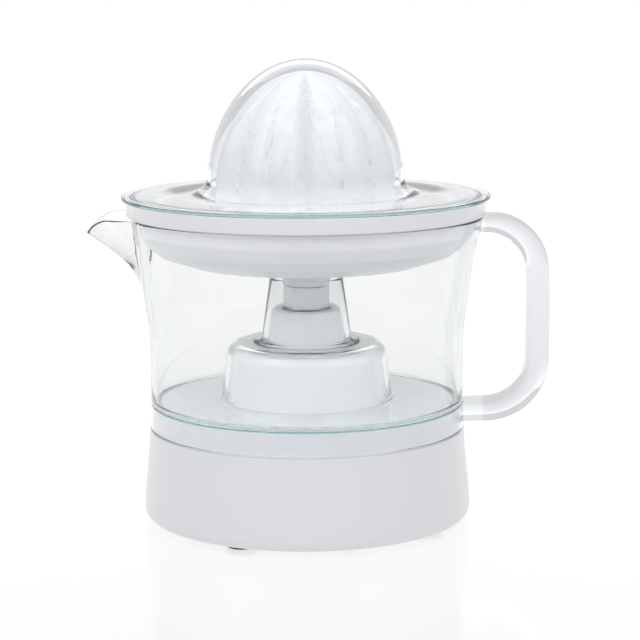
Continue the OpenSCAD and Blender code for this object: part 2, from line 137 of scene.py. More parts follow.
def circle(r, n, x=0, y=0):
    """n points on a circle of radius r about (x, y)."""
    return [(x + r * math.cos(q), y + r * math.sin(q)) for q in ring_angles(n)]


def arc(cx, cz, rx, rz, a0, a1, n):
    """n + 1 points on an ellipse about (cx, cz), from angle a0 to a1 in degrees."""
    out = []
    for i in range(n + 1):
        a = math.radians(lerp(a0, a1, i / n))
        out.append((cx + rx * math.cos(a), cz + rz * math.sin(a)))
    return out


def rounded(points, steps):
    """Outline with its corners rounded: each point is (x, z) or (x, z, radius)."""
    out = []
    for i, p in enumerate(points):
        if len(p) < 3:
            out.append((p[0], p[1]))
            continue
        c = Vector(p[:2])
        a = Vector(points[i - 1][:2]) - c
        b = Vector(points[(i + 1) % len(points)][:2]) - c
        half = a.angle(b) / 2
        cut = min(p[2] / math.tan(half), 0.49 * a.length, 0.49 * b.length)
        a, b = a.normalized(), b.normalized()
        mid = c + (a + b).normalized() * cut / math.cos(half)
        v, w = c + a * cut - mid, c + b * cut - mid
        swing = math.pi - 2 * half
        for k in range(steps + 1):
            t = k / steps
            q = mid + (math.sin((1 - t) * swing) * v + math.sin(t * swing) * w) / math.sin(swing)
            out.append((q.x, q.y))
    return out


def make(name, verts, faces, smooth_angle=35):
    """A closed mesh from points in millimetres, with outward faces."""
    mesh = bpy.data.meshes.new(name)
    mesh.from_pydata([(x * MM, y * MM, z * MM) for x, y, z in verts], [], faces)
    bm = bmesh.new()
    bm.from_mesh(mesh)
    bmesh.ops.remove_doubles(bm, verts=bm.verts, dist=1e-7)
    bmesh.ops.recalc_face_normals(bm, faces=bm.faces)
    bm.to_mesh(mesh)
    bm.free()
    obj = bpy.data.objects.new(name, mesh)
    bpy.context.scene.collection.objects.link(obj)
    shade(obj, smooth_angle)
    return obj


def shade(obj, angle):
    """Smooth shading, with edges sharper than the angle kept."""
    for p in obj.data.polygons:
        p.use_smooth = True
    obj.data.set_sharp_from_angle(angle=math.radians(angle))


def revolve(name, outline, columns, move=None, smooth_angle=35):
    """Turns a closed outline (radius, z) about Z. columns is a count or a list of angles in
    degrees; move(radius, z, angle in radians) may give each point (x, y, z)."""
    angles = columns
    if isinstance(columns, int):
        angles = [360 * i / columns for i in range(columns)]
    n = len(angles)
    verts, rows = [], []
    for r, z in outline:
        if r < 1e-6:
            rows.append([len(verts)] * n)
            verts.append((0, 0, z))
            continue
        rows.append(list(range(len(verts), len(verts) + n)))
        for a in angles:
            q = math.radians(a)
            if move:
                verts.append(move(r, z, q))
            else:
                verts.append((r * math.cos(q), r * math.sin(q), z))
    faces = []
    for i, row in enumerate(rows):
        nxt = rows[(i + 1) % len(rows)]
        for j in range(n):
            k = (j + 1) % n
            face = []
            for v in (row[j], row[k], nxt[k], nxt[j]):
                if v not in face:
                    face.append(v)
            if len(face) > 2:
                faces.append(face)
    return make(name, verts, faces, smooth_angle)


def tube(name, path, section):
    """Sweeps a section along an open path [(point, up)]. section(t) gives points (a, b), with a
    across the path and up, b along up, and t from 0 to 1 down the path."""
    verts, rows = [], []
    n = len(path)
    for i, (p, up) in enumerate(path):
        before = path[i - 1][0] if i else p
        after = path[i + 1][0] if i < n - 1 else p
        t = (after - before).normalized()
        side = t.cross(up).normalized()
        rows.append([])
        for a, b in section(i / (n - 1)):
            rows[-1].append(len(verts))
            verts.append(p + side * a + up * b)
    m = len(rows[0])
    faces = []
    for row, nxt in zip(rows, rows[1:]):
        for j in range(m):
            k = (j + 1) % m
            faces.append([row[j], row[k], nxt[k], nxt[j]])
    faces.append(list(reversed(rows[0])))
    faces.append(rows[-1])
    return make(name, [tuple(v) for v in verts], faces, 40)


def prism(name, outline, z0, z1):
    """An upright prism over a closed outline (x, y)."""
    n = len(outline)
    verts = [(x, y, z0) for x, y in outline] + [(x, y, z1) for x, y in outline]
    faces = [list(range(n)), list(range(2 * n - 1, n - 1, -1))]
    for j in range(n):
        k = (j + 1) % n
        faces.append([j, k, n + k, n + j])
    return make(name, verts, faces)


def join(objs, name):
    """One object of several closed meshes that don't touch."""
    bm = bmesh.new()
    for o in objs:
        bm.from_mesh(o.data)
    mesh = bpy.data.meshes.new(name)
    bm.to_mesh(mesh)
    bm.free()
    for o in objs:
        bpy.data.objects.remove(o)
    obj = bpy.data.objects.new(name, mesh)
    bpy.context.scene.collection.objects.link(obj)
    return obj


def combine(obj, other, how, angle=35):
    """Boolean of obj with other, which is used up."""
    mod = obj.modifiers.new("bool", "BOOLEAN")
    mod.operation = how
    mod.solver = "EXACT"
    mod.object = other
    bake(obj)
    bpy.data.objects.remove(other)
    shade(obj, angle)
    return obj


def bake(obj):
    """Applies the modifiers of obj to its mesh."""
    graph = bpy.context.evaluated_depsgraph_get()
    mesh = bpy.data.meshes.new_from_object(obj.evaluated_get(graph))
    obj.modifiers.clear()
    obj.data = mesh
    return obj


def bevel(obj, width):
    """Rounds the edges of obj by a width in millimetres."""
    mod = obj.modifiers.new("bevel", "BEVEL")
    mod.width = width * MM
    mod.segments = 3
    mod.limit_method = "ANGLE"
    mod.angle_limit = math.radians(30)
    bake(obj)
    shade(obj, 35)
    return obj


def finish_piece(obj, body, node, slot):
    """Puts a finished piece on its body, in place of a CAD node."""
    obj.data.materials.clear()
    obj.data.materials.append(MATERIALS[slot])
    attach(obj, body)
    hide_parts(node)
    return obj


# ---- Materials ----

def node_material(name):
    """A new material, its node tree and its shader."""
    mat = bpy.data.materials.new(name)
    mat.use_nodes = True
    tree = mat.node_tree
    return mat, tree, tree.nodes["Principled BSDF"]


def noise(tree, scale, detail=3, rough=0.5):
    """Cloudy values from 0 to 1; scale is in cells a metre."""
    coord = tree.nodes.new("ShaderNodeTexCoord")
    tex = tree.nodes.new("ShaderNodeTexNoise")
    tex.inputs["Scale"].default_value = scale
    tex.inputs["Detail"].default_value = detail
    tex.inputs["Roughness"].default_value = rough
    tree.links.new(coord.outputs["Object"], tex.inputs["Vector"])
    return tex.outputs["Fac"]


def wave(tree, axis, scale, distortion, profile="SIN"):
    """Bands across an axis, from 0 to 1."""
    coord = tree.nodes.new("ShaderNodeTexCoord")
    tex = tree.nodes.new("ShaderNodeTexWave")
    tex.bands_direction = axis
    tex.wave_profile = profile
    tex.inputs["Scale"].default_value = scale
    tex.inputs["Distortion"].default_value = distortion
    tree.links.new(coord.outputs["Object"], tex.inputs["Vector"])
    return tex.outputs["Fac"]


def remap(tree, fac, lo, hi):
    """Stretches values of 0 to 1 over lo to hi."""
    node = tree.nodes.new("ShaderNodeMapRange")
    node.inputs["To Min"].default_value = lo
    node.inputs["To Max"].default_value = hi
    tree.links.new(fac, node.inputs["Value"])
    return node.outputs["Result"]


def two_tone(tree, fac, a, b):
    """A mix of a and b, each a colour or a socket."""
    node = tree.nodes.new("ShaderNodeMix")
    node.data_type = "RGBA"
    for side, tone in (("A", a), ("B", b)):
        if isinstance(tone, tuple):
            node.inputs[side].default_value = (*tone, 1)
        else:
            tree.links.new(tone, node.inputs[side])
    tree.links.new(fac, node.inputs["Factor"])
    return node.outputs["Result"]


def bump(tree, shader, height, strength, distance):
    """Fine relief in the shading; distance is its depth in metres."""
    node = tree.nodes.new("ShaderNodeBump")
    node.inputs["Strength"].default_value = strength
    node.inputs["Distance"].default_value = distance
    tree.links.new(height, node.inputs["Height"])
    tree.links.new(node.outputs["Normal"], shader.inputs["Normal"])


def plastic(name, color, rough, vary=0.02, grain=900, depth=0.00001, coat=0.0, soft=0.0):
    """Moulded plastic: slight tone and gloss variation, and a fine surface grain."""
    mat, tree, s = node_material(name)
    tone = noise(tree, 25, 2)
    dark = tuple(c * (1 - vary) for c in color)
    tree.links.new(two_tone(tree, tone, dark, color), s.inputs["Base Color"])
    gloss = noise(tree, 160, 4, 0.6)
    tree.links.new(remap(tree, gloss, rough - 0.05, rough + 0.05), s.inputs["Roughness"])
    s.inputs["IOR"].default_value = 1.5
    s.inputs["Coat Weight"].default_value = coat
    s.inputs["Coat Roughness"].default_value = 0.12
    if soft:
        s.inputs["Subsurface Weight"].default_value = soft
        s.inputs["Subsurface Radius"].default_value = (0.004, 0.004, 0.0042)
    bump(tree, s, noise(tree, grain, 2), 0.35, depth)
    return mat


def metal(name, color, rough, axis="Z", lines=900):
    """Turned or drawn metal with fine machining lines and a few darker stains."""
    mat, tree, s = node_material(name)
    s.inputs["Metallic"].default_value = 1
    stain = noise(tree, 120, 4, 0.6)
    dark = tuple(c * 0.75 for c in color)
    tree.links.new(two_tone(tree, stain, dark, color), s.inputs["Base Color"])
    tree.links.new(remap(tree, noise(tree, 500, 3), rough - 0.08, rough + 0.1),
                   s.inputs["Roughness"])
    bump(tree, s, wave(tree, axis, lines, 1.5), 0.3, 0.000008)
    return mat


def zone(tree, axis, start, end):
    """0 before start and 1 past end along X, Z or the radius R, in millimetres."""
    place = tree.nodes.new("ShaderNodeTexCoord").outputs["Object"]
    ramp = tree.nodes.new("ShaderNodeMapRange")
    ramp.inputs["From Min"].default_value = start * MM
    ramp.inputs["From Max"].default_value = end * MM
    if axis == "R":
        flat = tree.nodes.new("ShaderNodeVectorMath")
        flat.operation = "MULTIPLY"
        flat.inputs[1].default_value = (1, 1, 0)
        length = tree.nodes.new("ShaderNodeVectorMath")
        length.operation = "LENGTH"
        tree.links.new(place, flat.inputs[0])
        tree.links.new(flat.outputs["Vector"], length.inputs[0])
        tree.links.new(length.outputs["Value"], ramp.inputs["Value"])
    else:
        split = tree.nodes.new("ShaderNodeSeparateXYZ")
        tree.links.new(place, split.inputs[0])
        tree.links.new(split.outputs[axis], ramp.inputs["Value"])
    return ramp.outputs["Result"]


def clear(name, tint, density, tones, zones, ior, lamps):
    """Clear moulded plastic: it turns teal where light runs a long way in it. tones are seen face
    on and from the side: the side tone is painted shade towards the outline, where light runs a
    long way in the plastic. Past the start of a zone they give way to the zone's own two, which
    paint shade or a teal edge line. Light from lamps goes straight through, by the share in lamps,
    so that what stands behind is lit."""
    face, side = tones
    mat, tree, s = node_material(name)
    # each zone paints its own tones over part of the piece: painted shade or a painted teal edge
    for axis, start, end, zone_face, zone_side in zones:
        share = zone(tree, axis, start, end)
        face = two_tone(tree, share, face, zone_face)
        side = two_tone(tree, share, side, zone_side)
    edge = tree.nodes.new("ShaderNodeLayerWeight")
    edge.inputs["Blend"].default_value = 0.5
    curve = tree.nodes.new("ShaderNodeMath")
    curve.operation = "POWER"
    curve.inputs[1].default_value = 3.0      # keeps the painted side shade close to the outline
    tree.links.new(edge.outputs["Facing"], curve.inputs[0])
    # painted shade: the colour darkens from the face tone to the side tone towards the outline
    tree.links.new(two_tone(tree, curve.outputs["Value"], face, side),
                   s.inputs["Base Color"])
    s.inputs["Transmission Weight"].default_value = 1
    s.inputs["IOR"].default_value = ior
    tree.links.new(remap(tree, noise(tree, 90, 3), 0.008, 0.022),
                   s.inputs["Roughness"])
    volume = tree.nodes.new("ShaderNodeVolumeAbsorption")
    volume.inputs["Color"].default_value = (*tint, 1)
    volume.inputs["Density"].default_value = density
    path = tree.nodes.new("ShaderNodeLightPath")
    share = tree.nodes.new("ShaderNodeMath")
    share.operation = "MULTIPLY"
    share.inputs[1].default_value = lamps
    through = tree.nodes.new("ShaderNodeBsdfTransparent")
    mix = tree.nodes.new("ShaderNodeMixShader")
    out = tree.nodes["Material Output"]
    tree.links.new(path.outputs["Is Shadow Ray"], share.inputs[0])
    tree.links.new(share.outputs["Value"], mix.inputs["Fac"])
    tree.links.new(s.outputs["BSDF"], mix.inputs[1])
    tree.links.new(through.outputs["BSDF"], mix.inputs[2])
    tree.links.new(mix.outputs["Shader"], out.inputs["Surface"])
    tree.links.new(volume.outputs["Volume"], out.inputs["Volume"])
    bump(tree, s, noise(tree, 45, 2), 0.12, 0.00002)
    return mat


def laminations(name):
    """A varnished stack of 0.5 mm iron sheets, with the edges showing as fine lines."""
    mat, tree, s = node_material(name)
    lines = wave(tree, "Z", 500, 0.1, "SAW")
    tree.links.new(two_tone(tree, lines, (0.10, 0.11, 0.13), (0.30, 0.32, 0.35)),
                   s.inputs["Base Color"])
    s.inputs["Metallic"].default_value = 0.7
    tree.links.new(remap(tree, noise(tree, 300, 3), 0.35, 0.55), s.inputs["Roughness"])
    bump(tree, s, lines, 0.6, 0.00006)
    return mat


def winding(name):
    """Enamelled copper wire, varnished."""
    mat, tree, s = node_material(name)
    tree.links.new(two_tone(tree, noise(tree, 220, 3), (0.42, 0.14, 0.04), (0.72, 0.30, 0.10)),
                   s.inputs["Base Color"])
    s.inputs["Metallic"].default_value = 0.85
    tree.links.new(remap(tree, noise(tree, 400, 2), 0.22, 0.38), s.inputs["Roughness"])
    s.inputs["Coat Weight"].default_value = 0.5
    bump(tree, s, wave(tree, "X", 900, 0.3), 0.4, 0.00002)
    return mat


def rubber(name):
    """Matt black rubber with a coarse grain."""
    mat, tree, s = node_material(name)
    tree.links.new(two_tone(tree, noise(tree, 300, 4, 0.7), (0.028, 0.028, 0.03),
                            (0.055, 0.055, 0.058)), s.inputs["Base Color"])
    tree.links.new(remap(tree, noise(tree, 700, 3), 0.62, 0.85), s.inputs["Roughness"])
    bump(tree, s, noise(tree, 1400, 3), 0.5, 0.00003)
    return mat


# Tones of the clear pieces, seen face on and from the side. Each side tone is painted shade
# along the outline; the skirt, handle and dome tones are painted shade, darker than the rest of
# the same plastic; the teal edge is a painted line standing in for light piped along an edge
PAINTED_TEAL_EDGE = ((0.30, 0.52, 0.55), (0.30, 0.52, 0.55))
JUG_WALL = ((0.87, 0.873, 0.873), (0.80, 0.83, 0.84))
JUG_SKIRT_SHADE = ((0.78, 0.78, 0.79), (0.78, 0.78, 0.79))
JUG_HANDLE_SHADE = ((0.75, 0.745, 0.765), (0.45, 0.47, 0.49))
COVER_FLANGE = ((0.93, 0.933, 0.933), (0.91, 0.92, 0.922))
COVER_DOME_SHADE = ((0.81, 0.812, 0.822), (0.68, 0.685, 0.70))

# One material for each slot. The teal edge of the jug is a line painted on its wall at the
# floor's height, standing in for light piped along the floor's edge and seen through the skirt
MATERIALS = {
    "white_abs": plastic("white_abs", (0.80, 0.815, 0.84), 0.3, coat=0.1),
    "grey_abs": plastic("grey_abs", (0.72, 0.73, 0.75), 0.5, depth=0.00003),
    "rubber_black": rubber("rubber_black"),
    "gland_white": plastic("gland_white", (0.74, 0.75, 0.77), 0.45, depth=0.00002),
    "steel": metal("steel", (0.62, 0.63, 0.65), 0.28),
    "dark_steel": metal("dark_steel", (0.20, 0.20, 0.22), 0.4),
    "laminations": laminations("laminations"),
    "zinc_plate": metal("zinc_plate", (0.66, 0.67, 0.66), 0.38, "X", 400),
    "bobbin_nylon": plastic("bobbin_nylon", (0.80, 0.76, 0.62), 0.42, soft=0.1),
    "copper_winding": winding("copper_winding"),
    "bronze": metal("bronze", (0.62, 0.42, 0.20), 0.35),
    "ferrite": plastic("ferrite", (0.055, 0.055, 0.06), 0.55, 0.3, 1500, 0.00003),
    "acetal": plastic("acetal", (0.83, 0.81, 0.74), 0.33, soft=0.15),
    "gearbox_plastic": plastic("gearbox_plastic", (0.66, 0.67, 0.69), 0.42, depth=0.00002),
    "switch_black": plastic("switch_black", (0.03, 0.03, 0.033), 0.45, 0.2),
    "button_red": plastic("button_red", (0.50, 0.03, 0.02), 0.3),
    "spindle_plastic": plastic("spindle_plastic", (0.76, 0.77, 0.80), 0.32),
    "clear_jug": clear("clear_jug", (0.52, 0.79, 0.80), 6, JUG_WALL,
                       # painted: a teal line at the floor's height, for light piped along the
                       # floor's edge
                       (("Z", floor_z + 0.1, floor_z - 0.1, *PAINTED_TEAL_EDGE),
                        # painted shade: darker tones on the skirt, below the deck, and on the
                        # handle
                        ("Z", deck_z + 0.1, deck_z - 0.1, *JUG_SKIRT_SHADE),
                        ("R", jug_foot_r - 3, jug_foot_r - 4, *JUG_WALL),
                        ("R", jug_foot_r, jug_foot_r + 0.3, *JUG_WALL),
                        ("X", handle_root, handle_root + 0.6, *JUG_HANDLE_SHADE)), 1.36, 1.0),
    "strainer_white": plastic("strainer_white", (0.82, 0.825, 0.85), 0.3, soft=0.08, coat=0.1),
    "cone_white": plastic("cone_white", (0.75, 0.76, 0.78), 0.28, soft=0.1, coat=0.15),
    "clear_cover": clear("clear_cover", (0.40, 0.80, 0.83), 5, COVER_FLANGE,
                         # painted shade: a darker tone on the dome than on the flange
                         (("Z", flange_z + 2, flange_z + 9, *COVER_DOME_SHADE),
                          # painted: a teal line round the flange's rim, for light piped along its
                          # edge
                          ("R", flange_r - 0.7, flange_r - 0.5, *PAINTED_TEAL_EDGE)), 1.25, 0.9),
}


def dress_frame():
    """Gives every CAD node the procedural material of its slot."""
    for part in frame["record"]["subparts"]:
        node = frame["nodes"][part["node"]]
        node.data.materials.clear()
        node.data.materials.append(MATERIALS[part["material_slot"]])


# ---- Base ----

def housing():
    """Base housing as one shell: drum, recessed rim, deck and stepped tower."""
    z0 = base_low
    drum_top = (61.25, z0 + 33)
    outside = arc(59.9, z0 + 3.8, 3.6, 3.8, -85, 0, 10)
    outside += [(63.45, z0 + 6), (63.3, z0 + 9), (62.95, z0 + 13), (62.5, z0 + 17.5),
                (62.0, z0 + 23), (61.5, z0 + 28), drum_top]
    outside += rounded([drum_top, (61.2, 36.6, 0.5), (58.8, 36.6, 0.4), (58.8, deck_z, 1.1),
                        (30.4, deck_z, 0.8), (28.25, 67.6, 4.2), (15.2, 67.6, 0.7),
                        (13.5, tower_z, 1.0), (9.7, tower_z, 0.5), (9.7, tower_z - 2.2, 0.3),
                        (6.0, tower_z - 2.2, 0.2), (6.0, 70, 0.2)], 6)[1:-1]
    inside = [(6.0, 70), (8.2, 70), (8.2, 78.3), (11.6, 78.3), (13.1, 65.4), (22.6, 65.4),
              (26, 62.2), (28.2, 43.8), (56.6, 43.8), (56.6, 34.4), (59, 34.4), (61.2, 9),
              (60.9, 5.5), (58.4, 4), (58.4, z0)]
    shell = revolve("base_shell", outside + inside, 224)
    post_at, post_r, post_low, post_top = 53, 4, 4, 16
    for i in range(4):
        a = math.radians(17 + 90 * i)
        post = prism("post", circle(post_r, 24, post_at * math.cos(a), post_at * math.sin(a)),
                     post_low, post_top)
        shell = combine(shell, post, "UNION")
    cord_z, cord_hole_r = 15, 5.1
    hole = prism("hole", circle(cord_hole_r, 32), 50, 70)
    hole.data.transform(Matrix.Translation((0, 0, cord_z * MM))
                        @ Matrix.Rotation(-math.pi / 2, 4, "X"))
    shell = combine(shell, hole, "DIFFERENCE")
    return finish_piece(shell, "base", "base_housing", "white_abs")


def feet():
    """Rubber feet: low pads with a bead round the edge and a shallow dish."""
    foot_at, foot_r, foot_h = 51.8, 5.6, 2.8
    made = []
    for i in range(4):
        a = math.radians(242 + 90 * i)
        outline = rounded([(0, 0.35), (3.7, 0.35, 0.5), (4.1, 0, 0.3), (5.5, 0, 0.8),
                           (foot_r, 1.7, 0.3), (foot_r, foot_h, 0.1), (0, foot_h)], 4)
        foot = revolve("foot", outline, 48)
        foot.data.transform(Matrix.Translation((foot_at * MM * math.cos(a),
                                                foot_at * MM * math.sin(a), 0)))
        made.append(foot)
    return finish_piece(join(made, "rubber_feet"), "base", "feet", "rubber_black")


def spindle():
    """Plastic spindle: a hexagonal column and a slimmer hexagonal spigot, bored for the shaft."""
    z0, z1 = low("drive_spindle"), top("drive_spindle")
    shoulder, bore_top = z0 + 8.9, 108.2
    column_r, spigot_r, bore_r = 9.1, 5.6, 4.05
    column = bevel(prism("column", circle(column_r, 6), z0, shoulder), 0.6)
    spigot = bevel(prism("spigot", circle(spigot_r, 6), shoulder - 2, z1), 0.5)
    column = combine(column, spigot, "UNION")
    column = combine(column, prism("bore", circle(bore_r, 48), z0 - 1, bore_top), "DIFFERENCE")
    column.name = "drive_spindle_column"
    return finish_piece(column, "spindle", "drive_spindle", "spindle_plastic")


# ---- Jug ----

def spout_reach(phi, z, inset):
    """Distance from the axis to the spout's wall at angle phi from -X, or 0 outside the spout."""
    tip = table([(61.0, spout_low), (61.1, 84), (61.9, 88.8), (63.4, 92.3), (65.8, 96.1),
                 (68.5, 100.3), (72.5, 105.5), (76.3, 111), (78.9, 114), (81.9, 117),
                 (spout_tip, rim_z)], z) - inset
    r = table([(4, spout_low), (6, 86), (9, 94), (13, 101), (18, 108), (21, 114),
               (21.5, rim_z + 1)], z) - inset
    c = tip - r
    inside = r * r - (c * math.sin(phi)) ** 2
    if inside < 0 or math.cos(phi) < 0:
        return 0
    return c * math.cos(phi) + math.sqrt(inside)


def blend_max(a, b):
    """The larger of a and b, with a soft change from one to the other."""
    k, m = 0.9, max(a, b)
    return m + math.log(math.exp(k * (a - m)) + math.exp(k * (b - m))) / k


def jug_point(r, z, q):
    """Moves a point of the turned jug outwards into the spout, and lowers the lip at its tip."""
    if z > spout_low and r > 50:
        phi = abs(math.atan2(math.sin(q - math.pi), math.cos(q - math.pi)))
        outer = table(WALL, z)
        inner = outer - jug_wall
        s = (r - inner) / jug_wall
        ease = smooth((z - spout_low) / 8)
        new_outer = lerp(outer, blend_max(outer, spout_reach(phi, z, 0)), ease)
        # the wall thins from a height of 96 to 112, and the lip drops within 13 degrees of the tip
        thin = lerp(jug_wall, spout_wall, smooth((z - 96) / 16))
        new_inner = lerp(inner, blend_max(inner, spout_reach(phi, z, thin)), ease)
        r = lerp(new_inner, new_outer, s)
        dip = math.cos(min(1, phi / math.radians(13)) * math.pi / 2) ** 1.5
        z -= lip_drop * dip * smooth((z - 98) / (rim_z - 98))
    return (r * math.cos(q), r * math.sin(q), z)


def jug_handle():
    """Solid bar of the handle, swept round a hooked path in the XZ plane."""
    points = [(66.9, 115.3), (69, 115.45)]
    points += arc(70.6, 97.6, 18.6, 17.9, 90, 0, 22)
    points += [(89.45, 90), (89.55, 84), (89.6, 76), (89.5, 69)]
    points += arc(69.2, 63.4, 20.3, 20.8, 0, -90, 24)
    points += [(65, 42.5), (60.1, 42.4)]
    path = [(Vector((x, 0, z)), Vector((0, 1, 0))) for x, z in points]

    def section(t):
        """A rounded oblong, a little slimmer at the top of the handle."""
        half, squareness = lerp(3.85, 4.6, smooth(t * 6)), 0.55
        out = []
        for q in ring_angles(40):
            c, s = math.cos(q), math.sin(q)
            out.append((half * math.copysign(abs(c) ** squareness, c),
                        handle_w / 2 * math.copysign(abs(s) ** squareness, s)))
        return out
    return tube("handle", path, section)


def jug():
    """Clear jug as one moulding: wall with spout, floor, chimney over the tower, and handle."""
    wall_z = [skirt_z + 0.8 + (rim_z - 0.9 - skirt_z - 0.8) * i / 60 for i in range(61)]
    outside = [(table(WALL, z), z) for z in wall_z]
    lip = rounded([outside[-1], (table(WALL, rim_z), rim_z, 0.8),
                   (table(WALL, rim_z) - jug_wall, rim_z, 0.8),
                   (table(WALL, rim_z - 2) - jug_wall, rim_z - 2)], 5)[1:-1]
    inside = [(table(WALL, z) - jug_wall, z) for z in reversed(wall_z) if z > floor_z + 6]
    floor_top = floor_z + 0.9
    bottom = [(table(WALL, floor_z + 6) - jug_wall, floor_z + 6),
              (table(WALL, floor_z + 2) - jug_wall, floor_top, 1.4)]
    chimney = [(33.0, floor_top, 2.0), (30.6, 70.0, 4.6), (20.6, 70.0, 0.4), (20.3, 71.1, 0.4),
               (17.4, 71.5, 0.5), (14.15, 95, 0.75), (12.5, 95, 0.75)]
    seat = deck_z - sink
    under = [(15.75, 68.3, 0.8), (28.9, 68.3, 3.6), (31.3, seat, 0.9), (57, seat),
             (57, floor_z), (59.2, floor_z, 0.8), (59.3, skirt_z, 0.5)]
    foot = [(jug_foot_r, skirt_z, 0.6)]
    corners = bottom + chimney + under + foot + [(outside[0][0], outside[0][1])]
    turned = rounded(corners, 6)[1:-1]
    outline = outside + lip + inside + turned
    # fine steps of angle at the spout, which points along -X, and coarser ones elsewhere
    columns = [180 + i * 0.4 for i in range(-62, 63)]
    columns += [205 + i * 2.0 for i in range(156)]
    body = revolve("jug_body", outline, columns, jug_point, 40)
    body = combine(body, jug_handle(), "UNION", 40)
    body.name = "jug_clear"
    return finish_piece(body, "jug", "jug", "clear_jug")


# ---- Strainer ----

def strainer():
    """Strainer bowl with its hub and rim, cut by slots that run outwards."""
    z_rim = strainer_top - 6.3
    outline = rounded([
        (8.2, strainer_low, 0.3), (9.3, strainer_low, 0.3), (9.3, 98.2, 1.0), (14, 98.7, 1),
        (30, 99.2, 3), (45, 101, 4), (56.6, 104.9, 4), (61.2, 108.6, 4), (64.4, 113.5, 4),
        (65.2, z_rim, 0.4),
        (strainer_r, z_rim, 0.7), (strainer_r, strainer_top, 0.6), (67.4, strainer_top, 0.4),
        (67.4, z_rim + 1.6, 0.5), (63.4, z_rim + 1.6, 0.7), (62.6, 114.2, 4), (59.8, 110.2, 4),
        (55.4, 106.6, 4), (44.6, 102.7, 4), (30, 100.9, 3), (12, 100.4, 1), (9.9, 102, 0.3),
        (8.2, 102, 0.3)], 6)
    bowl = revolve("strainer_bowl", outline, 240)
    count, half, slot_in, slot_out = 48, 0.8, 29, 47
    cutters = []
    for i in range(count):
        ends = [(slot_in + half + half * math.cos(q), half * math.sin(q))
                for q in (math.radians(90 + 22.5 * k) for k in range(9))]
        ends += [(slot_out - half + half * math.cos(q), half * math.sin(q))
                 for q in (math.radians(-90 + 22.5 * k) for k in range(9))]
        cutter = prism("slot", ends, 94, 108)
        cutter.data.transform(Matrix.Rotation(math.radians((i + 0.5) * 360 / count), 4, "Z"))
        cutters.append(cutter)
    bowl = combine(bowl, join(cutters, "slots"), "DIFFERENCE")
    return finish_piece(bowl, "strainer", "strainer", "strainer_white")


# ---- Cone ----

def cone():
    """Reaming cone: sixteen ribs with hollow flutes between them, every second one shorter."""
    ribs, depth = 16, 3.6
    z_eq, foot_z = flange_z, cone_foot
    crest_r, crest_h = 34.9, cone_top - flange_z

    def crest(z):
        if z > z_eq:
            return crest_r * math.sqrt(max(0, 1 - ((z - z_eq) / crest_h) ** 2))
        return crest_r + 0.4 * smooth((z_eq - z) / 16)

    def move(r, z, q):
        if r < 8.5 and z < foot_z + 40 or z < foot_z + 1.7 or inner_row(r, z):
            return (r * math.cos(q), r * math.sin(q), z)
        u = (q / (2 * math.pi) * ribs) % 2
        d = min(abs(u), abs(u - 2))          # 0 on a long rib, 1 on a short one
        h = (z - z_eq) / crest_h
        short_low = depth * smooth((h - 0.52) / 0.3)         # short ribs fade out above half
        ridge = short_low * d if d < 0.5 else short_low
        near = min(d, 1 - d)
        groove = depth * (1 - (1 - min(1, near * 2)) ** 1.7)
        fade = smooth((z - foot_z - 1.5) / 7) * min(1, crest(z) / 9)
        r2 = max(0.05, r - max(groove, ridge) * fade)
        return (r2 * math.cos(q), r2 * math.sin(q), z)

    def inner_row(r, z):
        return r < crest(z) - 0.5 and z < cone_top - 5

    shell_in, shell_h = crest_r - depth - 2, crest_h - 5
    bore_r, stem_r = 5.8, 7.9
    # the stem's outside up into the shell, then the shell's inside, foot, outside and the bore
    outline = [(bore_r, cone_low), (stem_r, cone_low), (stem_r, 160)]
    a_top = math.degrees(math.asin(min(1, stem_r / shell_in)))
    outline += arc(0, z_eq, shell_in, shell_h, 90 - a_top, 0, 24)
    outline += [(shell_in, foot_z + 3), (shell_in + 0.3, foot_z)]
    outline += rounded([(shell_in + 0.3, foot_z), (cone_r, foot_z, 0.5),
                        (cone_r, foot_z + 1.7, 0.5), (crest_r + 0.4, foot_z + 3)], 4)[1:-1]
    outline += [(crest(z), z) for z in
                [foot_z + 3.2 + (z_eq - foot_z - 3.2) * i / 8 for i in range(9)]]
    outline += arc(0, z_eq, crest_r, crest_h, 2, 90, 56)
    outline += [(0, cone_top - 8), (bore_r, cone_top - 8)]
    shell = revolve("cone_shell", outline, 384, move, 50)
    shell.name = "reaming_cone"
    return finish_piece(shell, "cone", "cone", "cone_white")


# ---- Dust cover ----

def dust_cover():
    """Clear dome over the cone, on a flange with a locating step below it."""
    rx, rz = 39.0, cover_top - flange_z
    outer = arc(0, flange_z, rx, rz, 14, 90, 60)
    outer[-1] = (0, outer[-1][1])
    inner = arc(0, flange_z, rx - cover_t, rz - cover_t, 90, 12, 60)
    inner[0] = (0, inner[0][1])
    z_top = flange_z + cover_t
    seat = strainer_top - sink
    step_in, step_out = 65.6, 67
    outline = outer + inner
    outline += rounded([inner[-1], (rx - cover_t - 0.1, flange_z, 8.6),
                        (step_in, flange_z, 0.3), (step_in, cover_low, 0.5),
                        (step_out, cover_low, 0.5), (step_out, seat, 0.2), (flange_r, seat, 0.3),
                        (flange_r, flange_z + 1, 0.5), (rx + 12, z_top, 8),
                        (rx - 0.4, z_top, 7), outer[0]], 7)[1:-1]
    shell = revolve("cover_shell", outline, 256, smooth_angle=50)
    shell.name = "dust_cover_clear"
    return finish_piece(shell, "cover", "dust_cover", "clear_cover")


# ---- Inner pieces ----

def spring():
    """Return spring: five turns of round wire between the ends of its CAD node."""
    lo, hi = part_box("return_spring")
    z0, z1 = lo.z / MM + 0.5, hi.z / MM - 0.5
    path, turns, steps, coil_r, wire_r = [], 5, 40, 5.6, 0.5
    for i in range(turns * steps + 1):
        a = 2 * math.pi * i / steps
        p = Vector((coil_r * math.cos(a), coil_r * math.sin(a), lerp(z0, z1, i / (turns * steps))))
        path.append((p, Vector((0, 0, 1))))
    wire = tube("return_spring_wire", path, lambda t: circle(wire_r, 10))
    return finish_piece(wire, "spindle", "return_spring", "steel")


